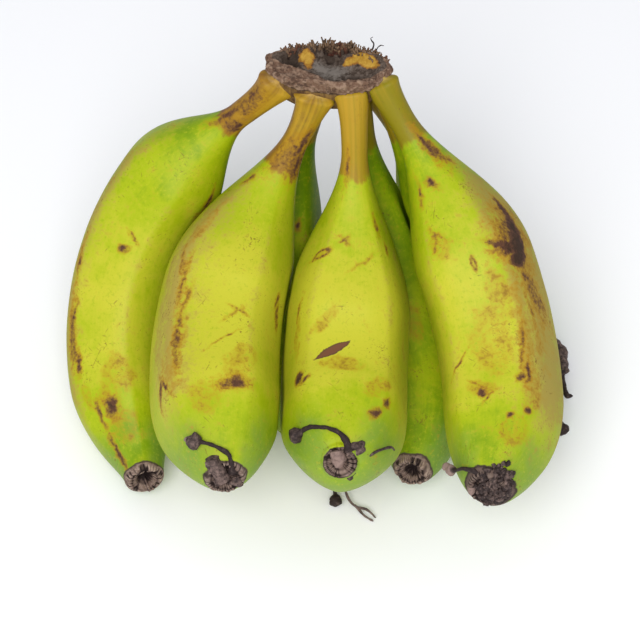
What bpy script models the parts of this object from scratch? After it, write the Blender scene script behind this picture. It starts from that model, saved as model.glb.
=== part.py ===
# A hand of eight short, plump bananas joined at one crown, standing on the bellies of its lower fruits.
# Sizes are in millimetres and angles in degrees until a mesh is made, which is in metres.

import math

import bmesh
import bpy
import numpy as np
from mathutils import Vector

MM = 0.001

# The crown's middle stands over the middle of the ground that the hand covers.
CROWN_CENTRE = np.array((2.9, 54.0, 139.9))
CROWN_HALF_WIDTH = 23.7
CROWN_HALF_DEPTH = 10.0
CROWN_TURN = -4.0
RIM_TOP = 1.8
RIM_BOTTOM = -4.2
DISH_DEPTH = 3.6
CROWN_ROOT_DEPTH = 21.5
CROWN_ROOT_SET_BACK = 5.0
CROWN_SQUARENESS = 2.5
CROWN_COLUMNS = 40
CROWN_WAVE = 0.4
# Lumps of the crown: how many stand round it, where they start, and their share of its width.
CROWN_LUMPS = ((5, 0.7, 0.022), (9, 2.1, 0.018))
# Height above the crown's middle, and the share of its half width there: from the root up to the dish.
CROWN_PROFILE = (
    (-CROWN_ROOT_DEPTH, 0.50), (-19.0, 0.72), (-14.0, 0.86), (-9.0, 0.90), (-6.0, 0.93),
    (RIM_BOTTOM, 0.99), (-2.6, 1.04), (0.2, 1.03), (RIM_TOP, 0.97),
    (RIM_TOP - 0.3, 0.87), (RIM_TOP - 2.0, 0.79), (RIM_TOP - DISH_DEPTH, 0.55), (RIM_TOP - DISH_DEPTH, 0.25),
)

# Two fruits that press on each other share the room between them, less this gap.
PRESS_GAP = 1.0
PRESS_SOFTNESS = 1.0
CROWN_GAP = 0.35

# A fruit is a loft along a bent line: rings of a rounded pentagon, which is round at the stalk.
SIDES = 5
COLUMNS = 20
ROWS = 27
RIDGE_SHARPNESS = 5.5
PENTAGON_MEAN = 1.033
RIDGES_START, RIDGES_GROW = 0.12, 0.25
RIDGES_FADE, RIDGES_FADE_OVER, RIDGES_FADE_BY = 0.85, 0.15, 0.7
LINE_SAMPLES = 161
HEADING_STATIONS = (0.0, 0.25, 0.6, 1.0)
PITCH_STATIONS = (0.0, 0.22, 0.45, 0.72, 1.0)
FLARE_FADE = 0.04
ROOT_DOME, ROOT_DOME_SHARE = 0.015, 0.8
TOWARDS_FRONT = np.array((0.0, -0.64, 0.77))
STRAIGHT_FRONT = np.array((0.0, -1.0, 0.0))

# The blossom end, as shares of the end's radius and millimetres past the fruit's end.
BLOSSOM_RINGS = ((0.97, 1.0), (0.80, 1.5), (0.62, 0.9), (0.34, -0.6))
BLOSSOM_MIDDLE = -0.9

# heading 0 points to the front and 90 to +X; pitch is above the horizon; start is from the crown's middle.
# flare: the stalk's half width where it leaves the crown; flare_depth: its half size from front to back there.
# shoulder: where the stalk starts to widen and the full belly is reached; taper: where the end narrows.
# ridge: the angle of one ridge, from the side that faces the front.
# remains: paths of the dried flower from the blossom end, as right, up and outward, with a knob's radius.
FRUITS = {
    "banana_front_1": {
        "start": (-18.3, -2.0, -4.4), "length": 201, "heading": (-96, -80, -15, 12),
        "pitch": (-58, -47, -51, -35, 8), "flare": 9.5, "flare_depth": 5.0, "stalk": 4.9, "belly": 20.3,
        "shoulder": (0.13, 0.34), "taper": 0.78, "roundness": 1.6, "end": 7.8, "ridge": 54, "remains": (),
    },
    "banana_front_2": {
        "start": (-4.8, -5.8, -7.0), "length": 173, "heading": (-68, -46, -8, 6),
        "pitch": (-77, -51, -32, -10, 8), "flare": 10.0, "flare_depth": 5.0, "stalk": 4.8, "belly": 24.8,
        "shoulder": (0.12, 0.51), "taper": 0.76, "roundness": 0.9, "end": 8.3, "ridge": 44,
        "remains": ((((3, 4, 0), (1, 9, -1), (-4, 12, -5), (-11, 15, -9)), 2.8),),
    },
    "banana_front_3": {
        "start": (8.4, -5.5, -5.2), "length": 164, "heading": (13, -3, -3, -6),
        "pitch": (-58, -61, -45, -9, 35), "flare": 7.0, "flare_depth": 5.0, "stalk": 4.9, "belly": 24.1,
        "shoulder": (0.15, 0.55), "taper": 0.78, "roundness": 0.75, "end": 7.6, "ridge": 34,
        "remains": (
            (((4, 4, 0), (3, 9, -1), (-3, 13, -3), (-10, 14, -7), (-18, 11, -12)), 3.0),
            (((5, 1, 0), (9, 1, -2), (14, 3, -4), (19, 2, -9)), 0.0),
        ),
    },
    "banana_front_4": {
        "start": (18.8, -4.5, -1.8), "length": 176, "heading": (51, 40, 13, -16),
        "pitch": (-56, -42, -39, -19, 13), "flare": 8.0, "flare_depth": 4.6, "stalk": 4.9, "belly": 22.5,
        "shoulder": (0.10, 0.45), "taper": 0.75, "roundness": 0.9, "end": 8.6, "ridge": 46,
        "remains": ((((-2, 4, 0), (-5, 7, -1), (-10, 7, -4), (-15, 6, -7)), 2.8),),
    },
    "banana_back_1": {
        "start": (-6.0, 4.2, -15.4), "length": 176, "heading": (-103, -60, 9, 2),
        "pitch": (-85, -74, -59, -16, -12), "flare": 6.2, "flare_depth": 6.2, "stalk": 5.8, "belly": 20.1,
        "shoulder": (0.12, 0.45), "taper": 0.66, "roundness": 1.2, "end": 7.4, "ridge": 30,
        "remains": (
            (((2, -3, 0), (4, -6, 7), (5, -9, 13), (5, -10, 17)), 2.6),
            (((4, -2, 0), (8, -8, 8), (13, -10, 15), (19, -10, 22)), 0.0),
        ),
    },
    "banana_back_2": {
        "start": (10.0, 3.0, -13.8), "length": 175, "heading": (34, 28, 19, -15),
        "pitch": (-76, -77, -57, -19, 7), "flare": 6.0, "flare_depth": 6.0, "stalk": 5.5, "belly": 19.3,
        "shoulder": (0.11, 0.46), "taper": 0.76, "roundness": 1.0, "end": 7.6, "ridge": 25, "remains": (),
    },
    "banana_back_3": {
        "start": (20.5, 3.5, -11.0), "length": 162, "heading": (55, 63, 39, 18),
        "pitch": (-71, -60, -57, -43, 7), "flare": 5.8, "flare_depth": 5.8, "stalk": 5.4, "belly": 19.2,
        "shoulder": (0.09, 0.50), "taper": 0.80, "roundness": 1.0, "end": 7.6, "ridge": 30,
        "remains": ((((5, 1, 0), (8, 1, 1), (10, 0, 2)), 2.6),),
    },
    "banana_back_4": {
        "start": (16.0, 9.5, -18.5), "length": 155, "heading": (104, 106, 64, 34),
        "pitch": (-63, -69, -69, -36, -2), "flare": 5.8, "flare_depth": 5.8, "stalk": 5.3, "belly": 17.8,
        "shoulder": (0.20, 0.62), "taper": 0.74, "roundness": 1.2, "end": 7.1, "ridge": 35,
        "remains": (
            (((4, -2, 1), (5, -4, 4), (4, -5, 7), (3, -5, 10)), 2.4),
            (((3, -4, 0), (2, -6, 8), (0, -7, 15), (-1, -6, 21)), 0.0),
        ),
    },
}
REMAIN_RADIUS = 0.9

# The torn fibres along the back of the cut: where they stand round the rim, and how far they reach.
FIBRES_FROM, FIBRES_TO = 22.0, 150.0
FIBRE_COUNT = 13
FIBRE_HEIGHT = (2.2, 5.6)
FIBRE_WIDTH, FIBRE_TIP_WIDTH = 1.8, 0.45
FIBRE_SUNK = 2.0
FIBRE_STAND = 0.93
FIBRE_LEAN = 0.25

# A slab of this size, under the ground, leaves the flats that the hand stands on.
GROUND_SIZE, GROUND_DEPTH = 400.0, 50.0

SKIN_COLOUR = (0.50, 0.60, 0.035, 1.0)
BACK_SKIN_COLOUR = (0.30, 0.46, 0.03, 1.0)
CROWN_COLOUR = (0.17, 0.11, 0.075, 1.0)
SKIN_ROUGHNESS, CROWN_ROUGHNESS = 0.45, 0.85


def smooth(x):
    x = np.clip(x, 0.0, 1.0)
    return x * x * (3.0 - 2.0 * x)


def through(stations, values, t):
    """The polynomial through a value at each station."""
    return np.polyval(np.polyfit(stations, values, len(stations) - 1), t)


def unit(v):
    return v / np.linalg.norm(v, axis=-1, keepdims=True)


class Fruit:
    """One banana: its centre line, the frame that goes along it, and its radius at any place and angle."""

    def __init__(self, spec):
        self.spec = spec
        self.t = np.linspace(0.0, 1.0, LINE_SAMPLES)
        heading = np.radians(through(HEADING_STATIONS, spec["heading"], self.t))
        pitch = np.radians(through(PITCH_STATIONS, spec["pitch"], self.t))
        level = np.cos(pitch)
        self.along = np.stack((np.sin(heading) * level, -np.cos(heading) * level, np.sin(pitch)), axis=1)
        step = spec["length"] / (LINE_SAMPLES - 1)
        moves = (self.along[1:] + self.along[:-1]) / 2.0 * step
        self.line = np.vstack((np.zeros(3), np.cumsum(moves, axis=0))) + CROWN_CENTRE + spec["start"]
        self.front = self.carried_front()
        self.side = np.cross(self.along, self.front)
        self.flare_turn = math.atan2(self.side[0] @ STRAIGHT_FRONT, self.front[0] @ STRAIGHT_FRONT)

    def carried_front(self):
        """The direction of angle 0, faced to the front at mid length and carried along without twist."""
        front = np.zeros_like(self.along)
        middle = LINE_SAMPLES // 2
        first = TOWARDS_FRONT - self.along[middle] * (TOWARDS_FRONT @ self.along[middle])
        front[middle] = unit(first)
        for i in range(middle + 1, LINE_SAMPLES):
            v = front[i - 1] - self.along[i] * (front[i - 1] @ self.along[i])
            front[i] = unit(v)
        for i in range(middle - 1, -1, -1):
            v = front[i + 1] - self.along[i] * (front[i + 1] @ self.along[i])
            front[i] = unit(v)
        return front

    def at(self, samples, t):
        return np.stack([np.interp(t, self.t, samples[:, k]) for k in range(3)], axis=-1)

    def radius(self, t, angle):
        """Stalk, shoulder, belly and narrowed end, times the rounded pentagon."""
        s = self.spec
        start, full = s["shoulder"]
        flare = s["flare"] + (s["flare_depth"] - s["flare"]) * np.cos(angle - self.flare_turn) ** 2
        r = s["stalk"] + (flare - s["stalk"]) * np.exp(-t / FLARE_FADE)
        r = r + (s["belly"] - s["stalk"]) * smooth((t - start) / (full - start))
        narrowing = np.clip((t - s["taper"]) / (1.0 - s["taper"]), 0.0, 1.0)
        r = s["end"] + (r - s["end"]) * (1.0 - narrowing ** 2) ** s["roundness"]
        r = r * np.sqrt(1.0 - ROOT_DOME_SHARE * np.clip(1.0 - t / ROOT_DOME, 0.0, 1.0) ** 2)
        strength = smooth((t - RIDGES_START) / RIDGES_GROW)
        strength = strength * (1.0 - RIDGES_FADE_BY * smooth((t - RIDGES_FADE) / RIDGES_FADE_OVER))
        return r * (1.0 + strength * (self.pentagon(angle) - 1.0))

    def pentagon(self, angle):
        """A smooth blend of five flat sides, with an average of 1."""
        total = np.zeros_like(angle)
        for k in range(SIDES):
            middle = math.radians(self.spec["ridge"]) + math.pi / SIDES + k * 2.0 * math.pi / SIDES
            total = total + np.maximum(np.cos(angle - middle), 0.0) ** RIDGE_SHARPNESS
        return total ** (-1.0 / RIDGE_SHARPNESS) / PENTAGON_MEAN

    def surface(self, t, angle):
        """Points at each t and each angle, as a grid."""
        tt, aa = np.meshgrid(t, angle, indexing="ij")
        r = self.radius(tt, aa)[..., None]
        front, side = self.at(self.front, t)[:, None], self.at(self.side, t)[:, None]
        out = np.cos(aa)[..., None] * front + np.sin(aa)[..., None] * side
        return self.at(self.line, t)[:, None] + r * unit(out)

    def nearest(self, points):
        return np.linalg.norm(points[:, None] - self.line[None], axis=2).argmin(axis=1)

    def clearance(self, points):
        """Distance from each point to this fruit's skin, below 0 inside it."""
        i = self.nearest(points)
        v = points - self.line[i]
        angle = np.arctan2((v * self.side[i]).sum(axis=1), (v * self.front[i]).sum(axis=1))
        return np.linalg.norm(v, axis=1) - self.radius(self.t[i], angle)

    def pressed(self, points, others):
        """Points drawn in towards the centre line, where another fruit needs half of the room."""
        centre = self.line[self.nearest(points)]
        inward = unit(centre - points)
        move = np.zeros(len(points))
        for other in others:
            overlap = PRESS_GAP - other.clearance(points)
            share = (overlap + np.sqrt(overlap ** 2 + PRESS_SOFTNESS ** 2)) / 4.0
            move = np.maximum(move, share)
        return points + inward * move[:, None]


def loft(rings, bottom, top):
    """A closed mesh over rings of points, with a middle point at each end."""
    bm = bmesh.new()
    rows = [[bm.verts.new(Vector(p) * MM) for p in ring] for ring in rings]
    for lower, upper in zip(rows, rows[1:]):
        for i in range(len(lower)):
            j = (i + 1) % len(lower)
            bm.faces.new((lower[i], lower[j], upper[j], upper[i]))
    for ring, middle, order in ((rows[0], bottom, -1), (rows[-1], top, 1)):
        tip = bm.verts.new(Vector(middle) * MM)
        for i in range(len(ring)):
            bm.faces.new((ring[i], ring[(i + 1) % len(ring)], tip)[::order])
    bmesh.ops.recalc_face_normals(bm, faces=bm.faces)
    return bm


def place(bm, name, collection):
    mesh = bpy.data.meshes.new(name)
    bm.to_mesh(mesh)
    bm.free()
    obj = bpy.data.objects.new(name, mesh)
    collection.objects.link(obj)
    mesh.shade_smooth()
    return obj


def paint(obj, colour, roughness):
    material = bpy.data.materials.new(obj.name)
    material.use_nodes = True
    shader = material.node_tree.nodes["Principled BSDF"]
    shader.inputs["Base Color"].default_value = colour
    shader.inputs["Roughness"].default_value = roughness
    material.diffuse_color = colour
    obj.data.materials.append(material)


def combine(obj, tool, operation):
    modifier = obj.modifiers.new(operation.title(), "BOOLEAN")
    modifier.operation = operation
    modifier.solver = "EXACT"
    modifier.object = tool


def cutter(bm, name, collection):
    obj = place(bm, name, collection)
    obj.hide_render = True
    obj.display_type = "WIRE"
    return obj


def crown_rings(swell=0.0):
    """The crown's rings from the root below, up over the rim and down into the dish of the cut."""
    angle = np.linspace(0.0, 2.0 * math.pi, CROWN_COLUMNS, endpoint=False)
    cos, sin = np.cos(angle), np.sin(angle)
    turn = math.radians(CROWN_TURN)
    reach = (abs(cos) ** CROWN_SQUARENESS + abs(sin) ** CROWN_SQUARENESS) ** (-1.0 / CROWN_SQUARENESS)
    lumps = 1.0 + sum(size * np.sin(count * angle + first) for count, first, size in CROWN_LUMPS)
    rings = []
    for height, share in CROWN_PROFILE:
        across = (CROWN_HALF_WIDTH * share * lumps + swell) * reach * cos
        back = (CROWN_HALF_DEPTH * share * lumps + swell) * reach * sin
        below_rim = (RIM_BOTTOM - height) / (CROWN_ROOT_DEPTH + RIM_BOTTOM)
        set_back = CROWN_ROOT_SET_BACK * float(smooth(below_rim))
        x = across * math.cos(turn) - back * math.sin(turn)
        y = across * math.sin(turn) + back * math.cos(turn) + set_back
        z = height + CROWN_WAVE * np.sin(3 * angle + 0.4) * share + (swell if height > RIM_BOTTOM else -swell)
        rings.append(np.stack((x, y, z), axis=1) + CROWN_CENTRE)
    return rings


def crown_body(swell=0.0):
    rings = crown_rings(swell)
    return loft(rings, rings[0].mean(axis=0), rings[-1].mean(axis=0))


def fibre(angle, height, lean):
    """One torn fibre as a thin cone that stands in the rim."""
    foot = CROWN_CENTRE + (
        CROWN_HALF_WIDTH * FIBRE_STAND * math.cos(angle), CROWN_HALF_DEPTH * FIBRE_STAND * math.sin(angle),
        RIM_TOP - FIBRE_SUNK,
    )
    length = height + FIBRE_SUNK
    bm = bmesh.new()
    bmesh.ops.create_cone(
        bm, cap_ends=True, segments=6, radius1=FIBRE_WIDTH * MM, radius2=FIBRE_TIP_WIDTH * MM,
        depth=length * MM,
    )
    for v in bm.verts:
        rise = v.co.z / MM + length / 2.0
        v.co.x += lean * rise * MM
        v.co.z = rise * MM
        v.co += Vector(foot) * MM
    return bm


def make_crown(collection, cutters):
    crown = place(crown_body(), "crown", collection)
    low, high = FIBRE_HEIGHT
    for k in range(FIBRE_COUNT):
        share = k / (FIBRE_COUNT - 1)
        angle = math.radians(FIBRES_FROM + (FIBRES_TO - FIBRES_FROM) * share)
        height = low + (high - low) * (0.5 + 0.5 * math.sin(2.4 * k + 1.0))
        lean = FIBRE_LEAN * math.sin(1.7 * k)
        tool = cutter(fibre(angle, height, lean), f"fibre_{k}", cutters)
        combine(crown, tool, "UNION")
    paint(crown, CROWN_COLOUR, CROWN_ROUGHNESS)
    return crown


def remain_path(fruit, path):
    """A path given from the blossom end, as right, up and outward, turned into places."""
    outward = fruit.along[-1]
    right = unit(np.array((1.0, 0.0, 0.0)) - outward * outward[0])
    up = np.cross(outward, right)
    end = fruit.line[-1]
    return [end + right * p[0] + up * p[1] + outward * p[2] for p in path]


def remain_bodies(fruit, path, knob):
    """A dried thread of the flower as a curve with a round bevel, and the knob at its far end."""
    points = remain_path(fruit, path)
    curve = bpy.data.curves.new("remain", "CURVE")
    curve.dimensions = "3D"
    curve.bevel_depth = REMAIN_RADIUS * MM
    curve.bevel_resolution = 1
    curve.resolution_u = 3
    curve.use_fill_caps = True
    spline = curve.splines.new("NURBS")
    spline.points.add(len(points) - 1)
    spline.use_endpoint_u = True
    spline.order_u = 3
    for point, place_mm in zip(spline.points, points):
        point.co = (*(Vector(place_mm) * MM), 1.0)
    holder = bpy.data.objects.new("remain", curve)
    mesh = bpy.data.meshes.new_from_object(holder)
    bpy.data.objects.remove(holder)
    thread = bmesh.new()
    thread.from_mesh(mesh)
    bmesh.ops.remove_doubles(thread, verts=thread.verts, dist=0.00001)
    bodies = [thread]
    if knob:
        ball = bmesh.new()
        bmesh.ops.create_uvsphere(ball, u_segments=8, v_segments=6, radius=knob * MM)
        bmesh.ops.translate(ball, verts=ball.verts, vec=Vector(points[-1]) * MM)
        bodies.append(ball)
    return bodies


def make_banana(name, fruit, others, crown_tool, ground, collection, cutters):
    spec = fruit.spec
    angle = math.radians(spec["ridge"]) + np.linspace(0.0, 2.0 * math.pi, COLUMNS, endpoint=False)
    even = np.linspace(0.0, 1.0, ROWS)
    grid = fruit.surface(0.5 * even + 0.25 * (1.0 - np.cos(math.pi * even)), angle)
    rings = [fruit.pressed(ring, others) for ring in grid]
    end, outward = fruit.line[-1], fruit.along[-1]
    rim = rings[-1] - end
    rings += [end + rim * share + outward * rise for share, rise in BLOSSOM_RINGS]
    body = place(loft(rings, fruit.line[0], end + outward * BLOSSOM_MIDDLE), name, collection)
    for path, knob in spec["remains"]:
        for k, bm in enumerate(remain_bodies(fruit, path, knob)):
            combine(body, cutter(bm, f"{name}_remain_{k}", cutters), "UNION")
    combine(body, crown_tool, "DIFFERENCE")
    combine(body, ground, "DIFFERENCE")
    paint(body, SKIN_COLOUR if "front" in name else BACK_SKIN_COLOUR, SKIN_ROUGHNESS)
    return body


def make_ground(cutters):
    """A slab under the ground, which leaves a small flat where a belly stands on it."""
    bm = bmesh.new()
    bmesh.ops.create_cube(bm, size=1.0)
    bmesh.ops.scale(bm, vec=Vector((GROUND_SIZE, GROUND_SIZE, GROUND_DEPTH)) * MM, verts=bm.verts)
    bmesh.ops.translate(bm, vec=Vector((0.0, 0.0, -GROUND_DEPTH / 2.0)) * MM, verts=bm.verts)
    return cutter(bm, "ground", cutters)


def build():
    for obj in list(bpy.data.objects):
        bpy.data.objects.remove(obj)
    collection = bpy.data.collections.new("banana_hand")
    cutters = bpy.data.collections.new("cutters")
    for c in (collection, cutters):
        bpy.context.scene.collection.children.link(c)
    make_crown(collection, cutters)
    crown_tool = cutter(crown_body(CROWN_GAP), "crown_room", cutters)
    ground = make_ground(cutters)
    fruits = {name: Fruit(spec) for name, spec in FRUITS.items()}
    for name, fruit in fruits.items():
        others = [f for n, f in fruits.items() if n != name]
        make_banana(name, fruit, others, crown_tool, ground, collection, cutters)


build()
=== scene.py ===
import functools
import math
import bpy
import numpy as np
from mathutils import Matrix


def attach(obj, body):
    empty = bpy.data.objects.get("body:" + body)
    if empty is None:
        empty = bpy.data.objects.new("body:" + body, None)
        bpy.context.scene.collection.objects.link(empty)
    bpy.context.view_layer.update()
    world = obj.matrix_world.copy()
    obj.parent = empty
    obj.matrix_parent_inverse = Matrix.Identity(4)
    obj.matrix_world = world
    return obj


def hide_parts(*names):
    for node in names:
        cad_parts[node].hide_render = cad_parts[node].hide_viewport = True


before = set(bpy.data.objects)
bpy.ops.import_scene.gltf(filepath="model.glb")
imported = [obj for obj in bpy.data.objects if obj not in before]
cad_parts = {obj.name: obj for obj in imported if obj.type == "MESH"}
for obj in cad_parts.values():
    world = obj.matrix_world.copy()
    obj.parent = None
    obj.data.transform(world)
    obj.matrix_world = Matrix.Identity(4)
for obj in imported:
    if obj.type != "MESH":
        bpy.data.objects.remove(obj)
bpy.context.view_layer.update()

mm = 0.001
print("frame loaded:", len(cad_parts), "nodes")

# Small helpers for shapes, all in millimetres


def smooth(x):  # an S from 0 to 1
    x = np.clip(x, 0.0, 1.0)
    return x * x * (3.0 - 2.0 * x)


def bell(x, middle, width):  # 1 at the middle, a tenth a width and a half away
    return np.exp(-((x - middle) / width) ** 2)


def unit(v):  # vectors divided by their lengths
    return v / np.maximum(np.linalg.norm(v, axis=-1, keepdims=True), 1e-9)


def wrapped(angle):  # the same angle, within half a turn of 0
    return (angle + math.pi) % (2.0 * math.pi) - math.pi


def addObject(name, data):  # a new object in the scene that shows the data
    obj = bpy.data.objects.new(name, data)
    bpy.context.scene.collection.objects.link(obj)
    return obj


grainTable = np.random.default_rng(11).random((64, 64, 64)) * 2.0 - 1.0


# Random numbers on a lattice with cells of the given size, blended smoothly: from -1 to 1.
def grain(points, size, shift=0):
    p = np.asarray(points) / size + 17.3 + shift * 5.71
    cell = np.floor(p).astype(int)
    f = smooth(p - cell)
    total = np.zeros(p.shape[:-1])
    for corner in np.ndindex(2, 2, 2):
        i, j, k = [(cell[..., a] + corner[a]) % 64 for a in range(3)]
        weight = np.prod([f[..., a] if corner[a] else 1.0 - f[..., a] for a in range(3)], axis=0)
        total += grainTable[i, j, k] * weight
    return total


# A smooth curve through points (Catmull-Rom), read at n even steps.
def throughPoints(points, n):
    p = np.asarray(points, dtype=float)
    p = np.vstack((2 * p[0] - p[1], p, 2 * p[-1] - p[-2]))
    s = np.linspace(0.0, len(p) - 3 - 1e-6, n)
    i = s.astype(int)
    u = (s - i)[:, None]
    a, b, c, d = p[i], p[i + 1], p[i + 2], p[i + 3]
    bend, twist = 2 * a - 5 * b + 4 * c - d, 3 * b - a - 3 * c + d
    return 0.5 * (2 * b + (c - a) * u + bend * u ** 2 + twist * u ** 3)


# One mesh of tubes from their corners (tubes, rings, sides, 3), each closed round its sides and by a point at
# both ends (tubes, 2, 3). The attributes hold a number or a vector for each corner; the point at an end takes
# the mean of its ring. Rings that run the other way round need the flip, so that the faces look outwards.
def closedMesh(name, material, walls, ends, attributes, flip=False):
    count, rings, sides = walls.shape[:3]
    tube = np.arange(count)[:, None, None] * rings * sides
    i = tube + np.arange(rings - 1)[None, :, None] * sides
    j = np.arange(sides)[None, None]
    k = (j + 1) % sides
    quads = np.stack((i + j, i + sides + j, i + sides + k, i + k), axis=-1).reshape(-1, 4)
    point = walls[..., 0].size + 2 * np.arange(count)[:, None, None] + 0 * j
    last = tube + (rings - 1) * sides
    low = np.stack((point, tube + j, tube + k), axis=-1)
    high = np.stack((point + 1, last + k, last + j), axis=-1)
    triangles = np.concatenate((low, high)).reshape(-1, 3)
    if flip:
        quads, triangles = quads[:, [0, 3, 2, 1]], triangles[:, [0, 2, 1]]
    verts = np.vstack((walls.reshape(-1, 3), np.reshape(ends, (-1, 3)))) * mm
    mesh = bpy.data.meshes.new(name)
    mesh.from_pydata(verts, [], quads.tolist() + triangles.tolist())
    for key, values in attributes.items():
        values = values.reshape(count, rings, sides, -1)
        isVector = values.shape[3] == 3
        atEnds = values[:, [0, -1]].mean(axis=2)
        layer = mesh.attributes.new(key, "FLOAT_VECTOR" if isVector else "FLOAT", "POINT")
        everywhere = np.concatenate((values.ravel(), atEnds.ravel())).astype(np.float32)
        layer.data.foreach_set("vector" if isVector else "value", everywhere)
    mesh.shade_smooth()
    mesh.materials.append(material)
    return addObject(name, mesh)


# Tubes along paths (tubes, steps, 3) with a radius at each step. Their walls are made uneven by a share of
# the radius times the grain. The attributes hold a number for each step.
def tubes(name, material, paths, radii, sides, uneven, grainSize, attributes):
    paths, radii = np.asarray(paths, dtype=float), np.asarray(radii, dtype=float)
    along = unit(np.gradient(paths, axis=1))
    isUpright = abs(along.mean(axis=1, keepdims=True)[..., 2:]) > 0.8
    right = unit(np.cross(along, np.where(isUpright, [1.0, 0.0, 0.0], [0.0, 0.0, 1.0])))
    up = np.cross(right, along)
    angle = np.linspace(0.0, 2.0 * math.pi, sides, endpoint=False)[:, None]
    ring = np.cos(angle) * right[:, :, None] + np.sin(angle) * up[:, :, None]
    walls = paths[:, :, None] + ring * radii[:, :, None, None]
    walls = walls + ring * (radii[:, :, None] * uneven * grain(walls, grainSize, 4))[..., None]
    atCorners = {key: np.repeat(values, sides, axis=1) for key, values in attributes.items()}
    return closedMesh(name, material, walls, paths[:, [0, -1]], atCorners)


# Helpers for materials


def linear(hexColour):  # sRGB hex to linear
    c = np.array([int(hexColour[i:i + 2], 16) for i in (1, 3, 5)]) / 255.0
    c = np.where(c <= 0.04045, c / 12.92, ((c + 0.055) / 1.055) ** 2.4)
    return (*c.tolist(), 1.0)


# The settings that most nodes of a kind have here
usual = {
    "Math": {"operation": "MULTIPLY_ADD"},
    "MapRange": {"interpolation_type": "SMOOTHSTEP"},
    "Mix": {"data_type": "RGBA"},
}


# Adds a node with its settings. Each input, in the order shown on the node or by its name, takes a value,
# another node's output, or the name of an attribute. The named output comes back, or else the first.
def addNode(material, kind, inputs=(), out=None, **settings):
    n = material.node_tree.nodes.new("ShaderNode" + kind)
    for key, value in (usual.get(kind, {}) | settings).items():
        setattr(n, key, value)
    shown = [s for s in n.inputs if s.enabled]
    named = inputs if isinstance(inputs, dict) else {s.identifier: v for s, v in zip(shown, inputs)}
    for key, value in named.items():
        socket = next(s for s in shown if key in (s.identifier, s.name))
        if isinstance(value, str):
            value = addNode(material, "Attribute", out="Fac", attribute_name=value)
        if isinstance(value, bpy.types.NodeSocket):
            material.node_tree.links.new(value, socket)
        else:
            socket.default_value = value
    return next(s for s in n.outputs if s.enabled and out in (None, s.name))


# Lays a colour over another. Its share goes from 0 to most while a value goes from low to high. Others add to
# the value, each times its weight.
def layOver(add, under, over, low, high, most, value, *others):
    for other, weight in others:
        value = add("Math", (other, weight, value))
    share = add("MapRange", (value, low, high, 0.0, most))
    return add("Mix", (share, under, over))


# Joins outputs to the shader's inputs, and sets its plain values.
def finishShader(material, **inputs):
    shader = material.node_tree.nodes["Principled BSDF"]
    for key, value in inputs.items():
        socket = shader.inputs[key.replace("_", " ")]
        if isinstance(value, bpy.types.NodeSocket):
            material.node_tree.links.new(value, socket)
        else:
            socket.default_value = value


def newMaterial(name):  # comes with the functions that add nodes and layers to it
    material = bpy.data.materials.new(name)
    material.use_nodes = True
    add = functools.partial(addNode, material)
    return material, add, functools.partial(layOver, add)


# The fruits: a bent centre line and a rounded pentagon round it

hand = {
    "crownCentre": (2.9, 54.0, 139.9),
    "headingStations": (0.0, 0.25, 0.6, 1.0),
    "pitchStations": (0.0, 0.22, 0.45, 0.72, 1.0),
    "lineSamples": 161,
    "sides": 5,
    "sharpness": 5.5,
    "meanSide": 1.033,  # what the blend of the sides comes to on average
    "cornersRise": (0.12, 0.25),  # where the flat sides start to show, and over how much
    "cornersFade": (0.85, 0.15, 0.7),  # where they start to fade again, over how much, and how strongly
    "flareFade": 0.04,
    "rootDome": 0.015,
    "rootRound": 0.8,
    "towardsFront": (0.0, -0.64, 0.77),
    "pressGap": 1.0,
    "pressSoftness": 1.0,
}  # lengths in mm, angles in degrees; stations, fades and shares run along a fruit from 0 to 1

# Each fruit: where its line starts from the crown's centre, its length, the heading and pitch at their
# stations, the radii of the flare, the stalk and the belly, where the shoulder starts and ends, where the end
# starts to narrow, how round it is and its radius, and where the first ridge lies.
fruitNames = ("start", "length", "heading", "pitch", "flare", "flareDepth", "stalk", "belly", "shoulder",
              "taper", "roundness", "end", "ridge")
fruits = {name: dict(zip(fruitNames, values)) for name, values in {
    "front_1": ((-18.3, -2.0, -4.4), 201, (-96, -80, -15, 12), (-58, -47, -51, -35, 8), 9.5, 5.0, 4.9, 20.3,
                (0.13, 0.34), 0.78, 1.6, 7.8, 54),
    "front_2": ((-4.8, -5.8, -7.0), 173, (-68, -46, -8, 6), (-77, -51, -32, -10, 8), 10.0, 5.0, 4.8, 24.8,
                (0.12, 0.51), 0.76, 0.9, 8.3, 44),
    "front_3": ((8.4, -5.5, -5.2), 164, (13, -3, -3, -6), (-58, -61, -45, -9, 35), 8.3, 5.0, 4.9, 24.1,
                (0.15, 0.55), 0.78, 0.75, 7.6, 34),
    "front_4": ((18.8, -4.5, -1.8), 176, (51, 40, 13, -16), (-56, -42, -39, -19, 13), 8.0, 4.6, 4.9, 22.5,
                (0.1, 0.45), 0.75, 0.9, 8.6, 46),
    "back_1": ((-6.0, 4.2, -15.4), 176, (-103, -60, 9, 2), (-85, -74, -59, -16, -12), 6.2, 6.2, 5.8, 20.1,
               (0.12, 0.45), 0.66, 1.2, 7.4, 30),
    "back_2": ((10.0, 3.0, -13.8), 175, (34, 28, 19, -15), (-76, -77, -57, -19, 7), 6.0, 6.0, 5.5, 19.3,
               (0.11, 0.46), 0.76, 1.0, 7.6, 25),
    "back_3": ((20.5, 3.5, -11.0), 162, (55, 63, 39, 18), (-71, -60, -57, -43, 7), 5.8, 5.8, 5.4, 19.2,
               (0.09, 0.5), 0.8, 1.0, 7.6, 30),
    "back_4": ((16.0, 9.5, -18.5), 155, (104, 106, 64, 34), (-63, -69, -69, -36, -2), 5.8, 5.8, 5.3, 17.8,
               (0.2, 0.62), 0.74, 1.2, 7.1, 35),
}.items()}


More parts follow.
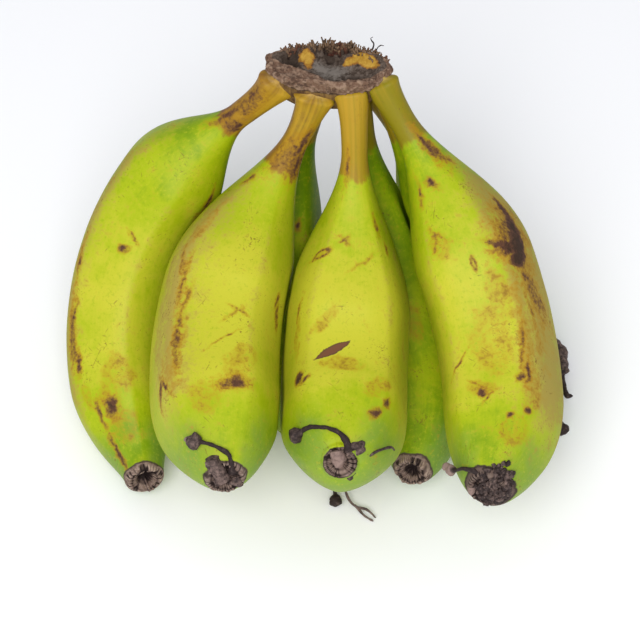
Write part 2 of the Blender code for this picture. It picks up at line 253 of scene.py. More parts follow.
# Adds to a fruit its centre line and the two directions across it. The heading and the pitch are polynomials
# through a few stations; the front direction faces the front at mid length and is carried along untwisted.
def bendFruit(f):
    n = hand["lineSamples"]
    t = np.linspace(0.0, 1.0, n)
    heading = np.radians(np.polyval(np.polyfit(hand["headingStations"], f["heading"], 3), t))
    pitch = np.radians(np.polyval(np.polyfit(hand["pitchStations"], f["pitch"], 4), t))
    level = np.cos(pitch)
    along = np.stack((np.sin(heading) * level, -np.cos(heading) * level, np.sin(pitch)), axis=1)
    moves = (along[1:] + along[:-1]) / 2.0 * f["length"] / (n - 1)
    line = np.vstack((np.zeros(3), np.cumsum(moves, axis=0))) + hand["crownCentre"] + f["start"]
    front = np.zeros_like(along)
    middle = n // 2
    towardsFront = np.array(hand["towardsFront"])
    front[middle] = unit(towardsFront - along[middle] * (towardsFront @ along[middle]))
    for order, step in ((range(middle + 1, n), 1), (range(middle - 1, -1, -1), -1)):
        for i in order:
            before = front[i - step]
            front[i] = unit(before - along[i] * (before @ along[i]))
    side = np.cross(along, front)
    f.update(t=t, line=line, along=along, front=front, side=side)
    f["flareTurn"] = math.atan2(-side[0][1], -front[0][1])


# A smooth blend of five flat sides, with an average of 1: the cosines of the angles from the middles of the
# sides, to a power, are summed, and the sum is taken to minus one over the power.
def pentagon(f, angle):
    p = hand["sharpness"]
    total = np.zeros_like(angle)
    for k in range(hand["sides"]):
        middle = math.radians(f["ridge"]) + (k + 0.5) * 2.0 * math.pi / hand["sides"]
        total = total + np.maximum(np.cos(angle - middle), 0.0) ** p
    return total ** (-1.0 / p) / hand["meanSide"]


# The stalk's flare, its waist, the shoulder up to the belly, the narrowed end and the round root, times the
# pentagon by its strength at each place.
def radiusAt(f, t, angle):
    start, full = f["shoulder"]
    flare = f["flare"] + (f["flareDepth"] - f["flare"]) * np.cos(angle - f["flareTurn"]) ** 2
    r = f["stalk"] + (flare - f["stalk"]) * np.exp(-t / hand["flareFade"])
    r = r + (f["belly"] - f["stalk"]) * smooth((t - start) / (full - start))
    narrowing = np.clip((t - f["taper"]) / (1.0 - f["taper"]), 0.0, 1.0)
    r = f["end"] + (r - f["end"]) * (1.0 - narrowing ** 2) ** f["roundness"]
    r = r * np.sqrt(1.0 - hand["rootRound"] * np.clip(1.0 - t / hand["rootDome"], 0.0, 1.0) ** 2)
    rise, riseOver = hand["cornersRise"]
    fade, fadeOver, lost = hand["cornersFade"]
    strength = smooth((t - rise) / riseOver) * (1.0 - lost * smooth((t - fade) / fadeOver))
    return r * (1.0 + strength * (pentagon(f, angle) - 1.0))


def readAlong(f, key, t):  # a vector of the centre line, blended between its samples
    return np.stack([np.interp(t, f["t"], f[key][:, k]) for k in range(3)], axis=-1)


def nearestSample(f, points):  # the sample of the centre line at the least distance from each point
    return ((f["line"] ** 2).sum(axis=1) - 2.0 * points @ f["line"].T).argmin(axis=1)


# How far points lie outside a fruit's skin, below 0 inside it.
def clearance(f, points):
    i = nearestSample(f, points)
    v = points - f["line"][i]
    angle = np.arctan2((v * f["side"][i]).sum(axis=1), (v * f["front"][i]).sum(axis=1))
    return np.linalg.norm(v, axis=1) - radiusAt(f, f["t"][i], angle)


# Draws points in towards the centre line by half of what they lie too close to another fruit, rounded off
# where they start to. The moves come back too.
def pressed(f, points, others):
    inward = unit(f["line"][nearestSample(f, points)] - points)
    move = np.zeros(len(points))
    for other in others:
        overlap = hand["pressGap"] - clearance(other, points)
        move = np.maximum(move, (overlap + np.sqrt(overlap ** 2 + hand["pressSoftness"] ** 2)) / 4.0)
    return points + inward * move[:, None], move


# Marks of each fruit by kind: mm along from the stalk's start, degrees round to the left of the front, half
# length and half width in mm, and the slant of the length in degrees if there is any.
marks = {
    "front_1": {
        "scar": ((98, 4, 2, 1.4, 60), (91.5, -2, 2, 0.6, -50), (111, 52, 4, 0.7, -4), (131, 46, 5, 0.8, 5),
            (150, 41, 3.8, 1.1), (172, 9, 3.8, 2.2, 10), (173, 29, 5.5, 1, 8), (192, 38, 9, 1.1, 4),
            (12, 36, 8, 0.8), (17, 12, 6, 0.7, 8), (27, -28, 2.6, 1.4, 20), (27, 34, 7, 1.2, 6),
            (62, -66, 5, 1)),
        "bruise": ((15, 24, 13, 5), (28, -20, 5, 6), (172, 10, 6, 4), (140, 47, 15, 2.4)),
        "rust": ((104, 54, 10, 2), (123, 49, 11, 2), (146, 42, 11, 2.6), (164, 37, 8, 2.4), (158, -5, 14, 8),
            (182, 5, 9, 8), (165, 12, 9, 5, 20), (18, 18, 16, 5), (66, -62, 9, 3), (72, 62, 14, 2.5)),
    },
    "front_2": {
        "scar": ((96, 38, 7, 0.5, 4), (86, 44, 5, 0.5, -14), (120, 35, 6, 0.5, -4), (146, -15, 3.3, 2, 95),
            (139, 62, 5, 1, 30), (140, 52, 4.5, 0.9, -25), (99, -66, 5.5, 1.1, -10), (92, -60, 3, 0.7, 10),
            (23, -46, 8, 1.4, 2), (31, -58, 5, 1.5, -4), (106, -17, 2.4, 0.5, -60), (108, -11, 1.8, 0.4, 40),
            (121, -6, 3.4, 0.25, 50), (44, 47, 1.3, 0.9), (47, 50, 1.1, 0.6, 30), (93, 37, 4, 0.4, -18),
            (104, 32, 5, 0.45, 10), (113, 35, 3, 0.9)),
        "bruise": ((29, -34, 10, 11), (124, 37, 14, 1.8), (145, -12, 4, 8)),
        "rust": ((92, 38, 14, 2.2), (112, 35, 12, 2.2), (134, 46, 12, 6), (145, -8, 10, 4, 95),
            (24, -20, 13, 4), (150, 16, 9, 8), (68, 44, 16, 3), (134, -20, 14, 8, 30), (112, 34, 22, 4)),
    },
    "front_3": {
        "scar": ((66.9, 49, 1.6, 0.3, 55), (129, 46, 4.2, 2.4, 10), (133, 38, 2.4, 1.4, 60),
            (143.5, -44, 2.4, 1.3), (151, -38, 3, 1.6, 30), (52, -46, 2.4, 0.7), (91.5, 51, 3.4, 0.8, 15),
            (57.6, 13, 1.5, 0.45, 50), (58.2, 9, 1.5, 0.45, -40), (30, 30, 4.5, 0.6),
            (66, -16, 2.8, 0.35, 50), (61.6, -55, 1.2, 0.5)),
        "outline": ((64, 39, 3.6, 1.3, 55),),
        "lens": ((114.8, 12.5, 9.6, 2.5, 45),),
        "rust": ((124, 4, 7, 12, 10), (96, 20, 14, 4, 30), (138, -30, 12, 5, 20), (104, 52, 16, 3),
            (64.4, 40, 4.5, 1.7, 55)),
    },
    "front_4": {
        "scar": ((65, -64, 6.5, 2.2), (72, -59, 5, 4), (78, -51, 5.5, 5.6), (83, -45, 3.6, 6.6),
            (75, -26, 6.5, 1.7, -56), (78, -34, 4, 3, -56), (90, -44, 3.6, 1.1, -60), (100, -66, 6, 0.5, -24),
            (31, -26, 7, 1.3, -12), (43.5, 15, 3, 1.5, -35), (44, 42, 2.6, 0.7), (48.5, 44, 1.6, 0.7),
            (62.5, 35, 2.2, 0.5, -20), (64, 27, 2.2, 0.4, -50), (67, 36, 1.8, 0.4, 30), (143, 19, 1.9, 1.5),
            (138, 23, 2, 0.3, -50), (146, 15, 1.8, 0.3, 35), (135, -18, 2.4, 1.6, 20), (132, -26, 5, 1),
            (154, -13, 1.2, 1.5), (151, -28, 1.4, 1.8), (124, 40, 3.8, 0.25, 30), (104, -40, 5, 0.5, -10),
            (118, -22, 7, 0.5, 6)),
        "outline": ((79, 4, 2.3, 0.75),),
        "bruise": ((76, -48, 15, 11), (78, -31, 8, 5, -50), (98, -56, 13, 5, -24), (32, -28, 11, 3, -12)),
        "rust": ((78, -52, 24, 14), (78, -30, 9, 9), (34, -30, 14, 4), (67, 31, 8, 6), (140, 20, 6, 7),
            (118, -26, 34, 4), (140, -30, 18, 6), (116, 6, 24, 10), (96, -10, 18, 6), (160, -20, 8, 8),
            (108, -48, 26, 7)),
    },
    "back_1": {
        "scar": ((60, -30, 2, 1), (120, 170, 6, 2, 20), (90, 120, 5, 0.8, 30)),
        "rust": ((80, 20, 12, 4), (110, 160, 20, 6)),
    },
    "back_2": {
        "scar": ((70, 10, 1.5, 0.9), (100, 160, 6, 1, 30), (130, -150, 4, 2)),
        "rust": ((110, -20, 14, 4), (120, 170, 20, 6, 10)),
    },
    "back_3": {
        "scar": ((75, -150, 4, 2, 10), (110, 170, 6, 1.2), (100, -90, 5, 1, 20)),
        "rust": ((90, -120, 16, 5), (120, 160, 16, 6)),
    },
    "back_4": {
        "scar": ((84, -140, 6, 3, 20), (120, 150, 4, 2), (70, 170, 5, 0.8, -30)),
        "rust": ((100, -100, 18, 6), (84, -136, 12, 7)),
    },
}

# How each fruit is coloured: its yellowness, the middle and half width in degrees of the side that was rubbed
# tan and how strongly, how brown and how olive its stalk is, where the stalk's colour ends as a share of the
# length, how far the husk of the flower reaches up from its end in mm, how dark and how hollow the husk is as
# shares, and how far the stalk's start bulges into the crown in mm.
toneNames = ("yellow", "rubbed", "stalkBrown", "olive", "neck", "husk", "dusk", "hollow", "startRise")
tones = {name: dict(zip(toneNames, values)) for name, values in {
    "front_1": (0.75, (62, 26, 0.50), 0.85, 0.0, 0.160, 1.0, 0.30, 1.0, 4.5),
    "front_2": (0.88, (50, 35, 0.64), 0.62, 0.2, 0.205, -0.6, 0.60, 0.6, 2.2),
    "front_3": (0.93, (-78, 20, 0.30), 0.05, 0.2, 0.205, -2.4, 0.40, 0.3, 2.2),
    "front_4": (0.80, (-60, 42, 0.98), 0.15, 0.9, 0.150, 1.0, 0.95, 0.8, 2.2),
    "back_1": (0.32, (150, 40, 0.50), 0.30, 0.4, 0.145, 1.0, 0.50, 1.0, 2.2),
    "back_2": (0.40, (180, 40, 0.45), 0.20, 0.6, 0.145, 0.8, 0.45, 1.0, 2.2),
    "back_3": (0.58, (-140, 40, 0.60), 0.25, 0.4, 0.145, 1.0, 0.50, 1.0, 2.2),
    "back_4": (0.58, (-120, 45, 0.60), 0.25, 0.4, 0.145, 1.2, 0.60, 1.0, 2.2),
}.items()}

skinMesh = {
    "rows": 250,
    "columns": 240,
    "backRows": 160,
    "backColumns": 150,
    "capRows": 26,
    "startRows": 12,
    "frontShare": 0.38,  # how far the columns crowd towards the side that faces the front
    "lumpSize": 24.0,  # mm, as are the heights and widths
    "lumpHeight": 0.35,
    "crest": 0.28,  # the raised line on each ridge
    "ridgeWidth": 2.2,
    "touchGap": 0.12,  # a press by more than this shows as a touch, fully so half a millimetre on
    "rimRise": 1.7,
    "hollowDepth": 4.2,
    "foldCounts": (9, 19, 33),
    "foldHeight": 0.5,
    "crumpleHeight": 0.8,
    "crumpleSizes": (3.2, 1.1),
    "rings": ((0.4, 0.36), (0.3, 0.62)),  # dark rings in the end: how dark, and how far in as a share
    "floor": 0.02,  # no point goes lower
}


# The blossom end closes the skin. It rises to a rim at a fifth of the way in and falls to a hollow in the
# middle, with uneven folds towards it. It is dark in two rings and along fine lines; in the hollow it is
# darker the lower it lies, partly its own dark centre and partly painted shade; and the folds' troughs carry
# painted shade.
def blossomEnd(f, edge, a, depth):
    end, out = f["line"][-1], f["along"][-1]
    s = np.linspace(0.0, 1.0, skinMesh["capRows"] + 2)[1:-1, None]
    few, more, many = skinMesh["foldCounts"]
    drift = 2.6 * np.sin(2 * a + f["ridge"]) + 1.8 * np.sin(3 * a + f["belly"])
    wave = np.sin(few * a + drift + 2.5 * s) + 0.5 * np.sin(more * a + 2.0 * drift - 4.0 * s)
    fineLines = np.sin(many * a + 3.0 * drift + 6.0 * s)
    flatCap = end + (edge - end)[None] * (1.0 - s)[..., None]
    coarse, fine = skinMesh["crumpleSizes"]
    crumple = grain(flatCap, coarse, 5) + 0.7 * grain(flatCap, fine, 6)
    inside = smooth(s / 0.1)
    rim = skinMesh["rimRise"] * smooth(s / 0.2) * (1.0 + 0.35 * grain(flatCap, 5.0, 7))
    hollow = skinMesh["hollowDepth"] * depth * smooth((s - 0.3) / 0.6)
    folds = wave * 4.0 * s * (1.0 - s) * skinMesh["foldHeight"] + skinMesh["crumpleHeight"] * crumple * inside
    rise = rim - hollow + folds * (0.35 + 0.65 * depth)
    # Partly the husk's own dark centre and partly painted shade: darker the lower the surface lies in the
    # hollow
    pit = depth * smooth((0.3 - rise) / 2.6) * smooth((s - 0.12) / 0.15)
    pit = pit + sum(dark * bell(s, place, 0.05) for dark, place in skinMesh["rings"])
    # Painted shade in the troughs of the folds, and fine dark lines of the husk's own
    pit = pit + (0.55 * smooth(-(wave + 2.2 * crumple) / 1.6) + 0.45 * smooth(fineLines - 0.2)) * inside
    return s, flatCap + out * rise[..., None], pit, end + out * rise[-1].mean()


# The skin of one fruit: a rounded start in the crown, rings along the bent line with a raised crest on each
# ridge and shallow lumps, pressed flat where fruits touch, and the blossom end. The parts are stacked row by
# row, also the numbers that the colours are worked out from.
def skinPoints(name, f):
    isFront = name.startswith("front")
    rows = skinMesh["rows" if isFront else "backRows"]
    columns = skinMesh["columns" if isFront else "backColumns"]
    even = np.linspace(0.0, 1.0, rows)
    t = 0.6 * even + 0.2 * (1.0 - np.cos(math.pi * even))
    a = np.linspace(-math.pi, math.pi, columns, endpoint=False)
    a = a - skinMesh["frontShare"] * np.sin(a)
    tt, aa = np.meshgrid(t, a, indexing="ij")
    onBody = smooth((tt - 0.2) / 0.2) * (1.0 - smooth((tt - 0.9) / 0.1))
    crest = np.zeros_like(tt)
    for k in range(hand["sides"]):
        ridge = math.radians(f["ridge"]) + k * 2.0 * math.pi / hand["sides"]
        crest = crest + bell(wrapped(aa - ridge) * f["belly"], 0.0, skinMesh["ridgeWidth"])
    r = radiusAt(f, tt, aa) + skinMesh["crest"] * onBody * crest
    front, side = readAlong(f, "front", t)[:, None], readAlong(f, "side", t)[:, None]
    outward = unit(np.cos(aa)[..., None] * front + np.sin(aa)[..., None] * side)
    points = readAlong(f, "line", t)[:, None] + r[..., None] * outward
    lumps = grain(points, skinMesh["lumpSize"], 1) + 0.5 * grain(points, skinMesh["lumpSize"] / 3.0, 2)
    points = points - outward * (skinMesh["lumpHeight"] * (0.6 + 0.4 * lumps) * onBody)[..., None]
    others = [g for other, g in fruits.items() if other != name]
    flat, move = pressed(f, points.reshape(-1, 3), others)
    points = flat.reshape(points.shape)
    # Painted shade where this fruit is pressed against another
    touch = smooth((move.reshape(tt.shape) - skinMesh["touchGap"]) / 0.5)
    s, cap, pit, last = blossomEnd(f, points[-1], a, tones[name]["hollow"])
    back = np.linspace(1.0, 0.0, skinMesh["startRows"] + 1)[1:-1, None]
    rise = f["along"][0] * tones[name]["startRise"]
    dome = np.sqrt(1.0 - back ** 2)[..., None]
    start = f["line"][0] + (points[0] - f["line"][0]) * dome - rise * back[..., None]
    points = np.vstack((start, points, cap))
    points[..., 2] = np.maximum(points[..., 2], skinMesh["floor"])
    parts = {  # on the start, on the rings and on the blossom end
        "t": (0.0, tt, 1.0), "angle": (a, aa, a), "cap": (0.0, 0.0, s), "pit": (0.0, 0.0, pit),
        "crest": (0.0, crest * onBody, 0.0), "touch": (0.0, touch, 0.0), "back": (back, 0.0, 0.0),
    }
    shapes = (start.shape[:2], tt.shape, cap.shape[:2])
    skin = {key: np.vstack([np.broadcast_to(v, shape) for v, shape in zip(part, shapes)])
            for key, part in parts.items()}
    return skin | {"points": points, "first": f["line"][0] - rise, "last": last}


markShape = {
    "steady": 0.2,  # how much of the warp moves the fine kinds, lens and outline
    "thinnest": 0.4,  # mm, the least depth of a scar
    "edgeWidth": 0.65,
    "edgeSlope": 1.8,
    "slope": 1.6,
    "rustMost": 0.6,
    "bruiseMost": 0.9,
    "bruiseSink": 0.55,
    "deepest": 3.0,
}


# How deep a point lies in a mark. The point is moved by the warp and turned by the mark's slant. A scar's
# depth in mm is its half width times its share, which is 1 less the distance in half sizes. A lens has two
# pointed ends, an outline lies near a scar's edge, and rust and bruise are the share times a slope, cut off
# at their most; a bruise is then sunk, so that only grit brings it up.
def markDepth(f, along, angle, warp, kind, mark):
    place, around, halfLong, halfWide, slant = (*mark, 0)[:5]
    isFine = kind in ("lens", "outline")
    loose = markShape["steady"] if isFine else 1.0
    u = along - place + loose * warp[0]
    turn = math.radians(around)
    v = wrapped(angle - turn) * radiusAt(f, np.array(place / f["length"]), np.array(turn))
    v = v + loose * min(1.0, halfWide) * warp[1]
    c, s = math.cos(math.radians(slant)), math.sin(math.radians(slant))
    u, v = u * c + v * s, v * c - u * s
    if kind == "lens":
        return halfWide * (1.0 - (u / halfLong) ** 2) - abs(v)
    share = 1.0 - np.sqrt((u / halfLong) ** 2 + (v / halfWide) ** 2)
    if kind == "rust":
        return np.clip(markShape["slope"] * share, 0.0, markShape["rustMost"])
    if kind == "bruise":
        return np.clip(markShape["slope"] * share, -2.0, markShape["bruiseMost"]) - markShape["bruiseSink"]
    if kind == "outline":
        return markShape["edgeWidth"] - markShape["edgeSlope"] * abs(halfWide * share)
    return max(halfWide, markShape["thinnest"]) * share


# The deepest of all marks of some kinds, between two bounds.
def deepest(f, along, angle, warp, kinds, chosen):
    most = markShape["deepest"]
    depths = [markDepth(f, along, angle, warp, kind, mark) for kind in kinds for mark in chosen.get(kind, ())]
    return np.clip(np.max(depths, axis=0), -most, most) if depths else np.full_like(along, -most)


for fruit in fruits.values():
    bendFruit(fruit)

skinColours = {key: linear(value) for key, value in {
    "deep": "#587807",
    "green": "#769305",
    "lime": "#9DAC0A",
    "yellow": "#B9B72C",
    "bloomAndShade": "#6A8C38",
    "tan": "#9E8642",
    "amber": "#A67C0C",
    "rust": "#6E4C1C",
    "scar": "#54342A",
    "scarDark": "#2B1A1A",
    "stalk": "#AC8822",
    "stalkPale": "#C9A86C",
    "stalkGreen": "#7A730A",
    "stalkBrown": "#6A3E28",
    "lens": "#704630",
    "husk": "#6E5A50",
    "huskPale": "#B39C8C",
    "huskDark": "#1E1311",
}.items()}


# Banana peel, grown under a waxy cuticle: a soft sheen over flesh that runs from deep green to yellow, with
# painted shade on the sides away from the front, tan where the ridges were rubbed, brown where sap dried in
# scratches, and a dry husk at the end.
# The sizes of its patterns are in mm. Streaks and fibres follow the fruit as if it were straight, drawn out.
def peelMaterial(name):
    m, add, lay = newMaterial(name)
    c = skinColours
    place = add("TexCoord", out="Object")
    cloud, patch, grit, cluster, fleck = [
        add("TexNoise", {"Vector": place, "Scale": 1 / (size * mm), "Detail": detail, "Roughness": rough})
        for size, detail, rough in ((22, 3, 0.5), (6, 4, 0.6), (1.5, 4, 0.7), (11, 2, 0.5), (1.1, 2, 0.5))]
    peel = add("Attribute", out="Vector", attribute_name="peel")
    drawnOut = add("VectorMath", (peel, (1.0, 1.0, 0.07)), operation="MULTIPLY")
    streak, fibre = [
        add("TexNoise", {"Vector": drawnOut, "Scale": scale, "Detail": detail, "Roughness": rough})
        for scale, detail, rough in ((0.9, 3, 0.6), (0.13, 2, 0.45))]

    # Flesh colours from deep green to yellow, by the fruit's yellowness, with painted shade that turns the
    # sides and the back away from the front darker green
    ripeAndShadeMottled = add("Math", (cloud, 0.70, "sun"))
    ripeAndShadeMottled = add("Math", (patch, 0.55, ripeAndShadeMottled))
    ripeAndShadeMottled = add("Math", (streak, 0.22, ripeAndShadeMottled))
    body = lay(c["deep"], c["green"], 0.55, 0.95, 1.0, ripeAndShadeMottled)
    body = lay(body, c["lime"], 0.85, 1.20, 1.0, ripeAndShadeMottled)
    body = lay(body, c["yellow"], 1.15, 1.60, 1.0, ripeAndShadeMottled)
    # Dull green towards the blossom end, and the same colour as painted shade on the sides away from the
    # front
    tip = add("Math", ("tip", patch), operation="MULTIPLY")
    body = lay(body, c["bloomAndShade"], 0.1, 0.6, 0.7, tip)
    body = lay(body, c["yellow"], 0.52, 0.72, 0.40, grit)
    body = lay(body, c["green"], 0.46, 0.28, 0.35, grit)

    # The stalk: mustard fibres with brown streaks, paler where it leaves the crown
    stalk = lay(c["stalk"], c["stalkGreen"], 0.45, 1.15, 0.9, "olive", (fibre, 1.0))
    stalk = lay(stalk, c["stalkBrown"], 1.15, 1.95, 0.85, "brown", (fibre, 1.0), (patch, 1.0))
    stalk = lay(stalk, c["stalkPale"], 1.8, 0.5, 0.4, "start", (grit, 1.5))
    stalk = lay(stalk, c["stalkBrown"], 0.0, -1.5, 0.8, "start", (grit, 1.5))
    skin = lay(body, stalk, 1.20, 1.60, 1.0, "stalk", (patch, 1.1), (fibre, 0.7))

    # Painted shade where fruits lie against each other: the peel is darkened towards deep green
    touch = add("Math", ("touch", 0.4), operation="MULTIPLY")
    skin = add("Mix", (touch, skin, c["deep"]))

    # Rubbed tan sides and ridges, in ragged patches with a fine grit
    tan = add("Math", (patch, 1.1, "rubbed"))
    tan = add("Math", (grit, 0.7, tan))
    tan = add("MapRange", (tan, 1.05, 1.75, 0.0, 0.8))
    skin = add("Mix", (tan, skin, c["tan"]))

    # Fine flecks of about 1 mm in loose clusters
    skin = lay(skin, c["rust"], 1.00, 1.12, 0.75, fleck, (cluster, 0.55), ("rubbed", 0.05))

    # Scratches: noise drawn out into strokes 4 to 8 mm long, slanted both ways round the fruit
    strokes = 0.0
    for turn, seed in ((0.5, 0.0), (-0.7, 40.0), (1.5, 80.0)):
        slanted = add("VectorRotate", {"Vector": peel, "Axis": (1.0, 0.3, 0.0), "Angle": turn})
        slanted = add("VectorMath", (slanted, (1.0, 1.0, 0.10), (seed, 0.0, 0.0)), operation="MULTIPLY_ADD")
        stroke = add("TexNoise", {"Vector": slanted, "Scale": 1.3, "Detail": 1.0})
        stroke = add("Math", (cluster, 0.5, stroke))
        stroke = add("MapRange", (stroke, 0.99, 1.08, 0.0, 0.5))
        strokes = add("Math", (stroke, strokes), operation="MAXIMUM")
    skin = add("Mix", (strokes, skin, c["rust"]))

    # Rust stains of amber and brown specks, then scars with a rusty halo
    specks = add("Math", (grit, 0.9, "rust"))
    specks = add("Math", (patch, 1.9, specks))
    skin = lay(skin, c["amber"], 1.50, 2.35, 0.6, specks)
    skin = lay(skin, c["rust"], 2.00, 2.65, 0.6, specks)
    ragged = add("Math", (grit, 2.4, "scar"))
    ragged = add("Math", (patch, 1.6, ragged))
    skin = lay(skin, c["amber"], 0.8, 2.3, 0.75, ragged)
    sore = lay(c["scar"], c["scarDark"], 4.9, 7.6, 1.0, ragged, (grit, 5.0))
    scar = add("MapRange", (ragged, 1.50, 3.00, 0.0, 0.95))
    skin = add("Mix", (scar, skin, sore))
    leaf = add("Math", (grit, 2.0, "lens"))
    skin = lay(skin, c["scar"], 0.80, 1.15, 0.95, leaf)
    skin = lay(skin, c["lens"], 1.20, 2.10, 0.85, leaf)

    # The husk: dry grey-brown, pale on the rim of the end, nearly black at its border and in the hollow,
    # there partly its own dark centre and partly painted shade
    pale = add("MapRange", (grit, 0.42, 0.62, 0.0, 1.0), interpolation_type="LINEAR")
    pale = add("Math", (pale, "ring"), operation="MULTIPLY")
    dry = add("Mix", (pale, c["husk"], c["huskPale"]))
    dry = lay(dry, c["huskDark"], 0.55, 1.35, 1.0, "pit", (grit, 0.9), ("dusk", 0.5))
    reach = add("Math", (patch, 4.0, "husk"))
    dry = lay(dry, c["huskDark"], 3.2, 2.2, 0.7, reach)
    husk = add("MapRange", (reach, 1.4, 2.1, 0.0, 1.0))
    skin = add("Mix", (husk, skin, dry))

    # Rough and matt where it is scarred, tan or dry; low relief from streaks and grit, sunk at the scars
    rough = add("Math", (scar, husk), operation="MAXIMUM")
    rough = add("Math", (rough, tan), operation="MAXIMUM")
    rough = add("Math", (patch, 0.3, rough))
    rough = add("MapRange", (rough, 0.1, 1.1, 0.48, 0.78), interpolation_type="LINEAR")
    calm = add("MapRange", ("stalk", 0.0, 1.0, 0.8, 0.15), interpolation_type="LINEAR")
    height = add("Math", (streak, calm), operation="MULTIPLY")
    height = add("Math", (grit, 0.6, height))
    height = add("Math", (scar, -0.8, height))
    normal = add("Bump", {"Height": height, "Strength": 0.25, "Distance": 0.25 * mm})
    finishShader(m, Base_Color=skin, Roughness=rough, Normal=normal, IOR=1.45, Specular_IOR_Level=0.22)
    return m


# One skin with the attributes that its colours follow. The flesh share is the fruit's yellowness, high on
# the front; painted shade lowers it on the sides and the back, and it also falls towards the stalk and the
# blossom end, which are greener. The others are shares, or mm along or deep, at each corner.
def makeSkin(name, f, material):
    skin = skinPoints(name, f)
    t, angle = skin["t"], skin["angle"]
    along = t * f["length"]
    tone = tones[name]
    away = abs(wrapped(angle))
    middle, width, strength = tone["rubbed"]
    off = wrapped(angle - math.radians(middle))
    onBody = smooth((t - 0.16) / 0.2) * (1.0 - 0.8 * smooth((t - 0.76) / 0.16))
    straightened = np.stack((f["belly"] * np.cos(angle), f["belly"] * np.sin(angle), along), axis=-1)
    warp = [0.9 * grain(skin["points"], 4.0, k) + 0.5 * grain(skin["points"], 1.5, k + 2) for k in (13, 14)]
    cap = skin["cap"]
    grown = smooth((t - 0.17) / 0.36)
    # Painted shade: the flesh share drops on the sides and the back, away from the front
    sun = tone["yellow"] * (1.0 - 0.16 * smooth((away - 0.5) / 1.3)) * (0.54 + 0.46 * grown)
    beforeStalk, beforeEnd = t / tone["neck"], along - f["length"] + tone["husk"]
    attributes = {
        "peel": straightened,
        "sun": sun * (1.0 - 0.48 * smooth((t - 0.76) / 0.2)) - 0.07,
        "stalk": 1.0 - smooth((t - tone["neck"] + 0.03) / 0.06),
        "start": along - 3.0 * skin["back"],
        "brown": tone["stalkBrown"] * (0.35 + 0.35 * np.sin(angle + 0.6) + 0.45 * smooth(beforeStalk - 0.2)),
        "olive": tone["olive"] * (0.5 + 0.5 * smooth(beforeStalk)),
        # Dull green towards the blossom end; what it gains on the sides away from the front is painted shade
        "tip": smooth((t - 0.79) / 0.19) * (0.35 + 0.65 * smooth((away - 0.2) / 0.8))
        + 0.20 * smooth((away - 1.1) / 0.5) * onBody,
        "rubbed": onBody * (strength * bell(off, 0.0, math.radians(width)) + 0.30 * skin["crest"]),
        "touch": skin["touch"],
        "husk": np.where(cap > 0.0, tone["husk"] + 12.0 * cap, np.maximum(beforeEnd, -6.0)),
        "ring": bell(cap, 0.16, 0.14) + 0.6 * bell(cap, 0.5, 0.10) + 0.15 * (cap <= 0.0),
        "dusk": np.full_like(t, tone["dusk"]),
        "pit": skin["pit"],
    }
    for key, kinds in (("rust", ("rust",)), ("scar", ("scar", "outline", "bruise")), ("lens", ("lens",))):
        attributes[key] = deepest(f, along, angle, warp, kinds, marks[name])
    ends = (skin["first"], skin["last"])
    obj = closedMesh("skin_" + name, material, skin["points"][None], ends, attributes, flip=True)
    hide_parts("banana_" + name)
    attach(obj, "root")


peelPaint = peelMaterial("bananaPeel")
for name, fruit in fruits.items():
    makeSkin(name, fruit, peelPaint)
print("skins made")

# The crown: the cut end of the cushion that the stalks grew from, with a warty band, a weathered dish and a
# fringe of torn fibres along its back

crown = {
    "centre": (2.5, 54.0, 139.9),
    "halfWidth": 23.7,
    "halfDepth": 10.0,
    "turn": -4.0,
    "squareness": 2.25,
    "rootSetBack": 5.0,
    "rimBottom": -4.2,
    "rootDepth": 21.5,
    "profile": (  # height above the centre, and share of the half width
        (-21.5, 0.50), (-19.0, 0.72), (-14.0, 0.86), (-9.0, 0.89), (-6.0, 0.91), (-4.9, 0.92), (-4.4, 0.94),
        (-3.9, 0.98), (-2.6, 1.005), (-0.5, 1.01), (0.9, 0.99), (1.7, 0.95), (1.8, 0.89), (1.1, 0.80),
        (-0.4, 0.68), (-1.4, 0.54), (-1.9, 0.36), (-1.9, 0.18), (-1.9, 0.03),
    ),
    "rings": 170,
    "columns": 300,
    "wartSize": 1.25,
    "wartHeight": 0.65,
    "endLift": (5.2, 4.0),  # how much thinner the band is at its left and right end
    "lipEdge": (  # where the lip ends and the dish starts, from the left to the right
        (-24, 2.5), (-17.4, 0.7), (-10.9, -1.3), (-5.3, -3.7), (0.4, -6.7), (7.9, -7.2), (16.2, -5.2),
        (21.1, -1.3), (24, 2.0),
    ),
    "lipHeight": 1.1,
    "lipSoftness": 1.6,
    "lipShare": 0.85,  # how far the lip is flattened to its height
    "hollows": ((-14.0, 3.5, 3.4, 4.5, -1.5), (0.0, 6.6, 1.9, 2.0, -1.7), (9.8, -3.4, 3.4, 2.0, -1.4),
                (7.5, 8.4, 5.0, 0.9, -1.4)),  # place, half sizes and height, as for humps and greys
    "humps": ((-7.9, 5.0, 3.6, 3.8, 1.5), (13.0, 4.5, 7.0, 2.6, 1.3), (1.5, -1.0, 5.5, 3.5, 0.5)),
    "coreTop": (  # the pith lies between these two lines
        (4.8, 4.2), (6.6, 5.9), (10.4, 7.6), (13.4, 8.0), (16.4, 5.6), (20.2, 1.6),
    ),
    "coreBottom": ((4.8, 2.8), (11.4, 2.9), (14.6, 0.9), (18.6, 0.5), (20.6, 1.2)),
    "spots": ((-8.4, 5.4, 3.6, 2.2), (-7.4, 3.4, 2.2, 3.2), (-9.8, 4.8, 2.2, 2.2)),  # pith too
    "greys": ((1.5, -1.0, 6.5, 4.0, 1.0), (-3.5, 2.0, 2.5, 2.5, 0.7)),
}


# How far a rounded oblong of half width and half depth 1 reaches in each direction.
def oblong(a):
    power = crown["squareness"]
    return (abs(np.cos(a)) ** power + abs(np.sin(a)) ** power) ** (-1.0 / power)


def turnedPlan(x, y):  # x and y after the crown's turn
    turn = math.radians(crown["turn"])
    return x * math.cos(turn) - y * math.sin(turn), x * math.sin(turn) + y * math.cos(turn)


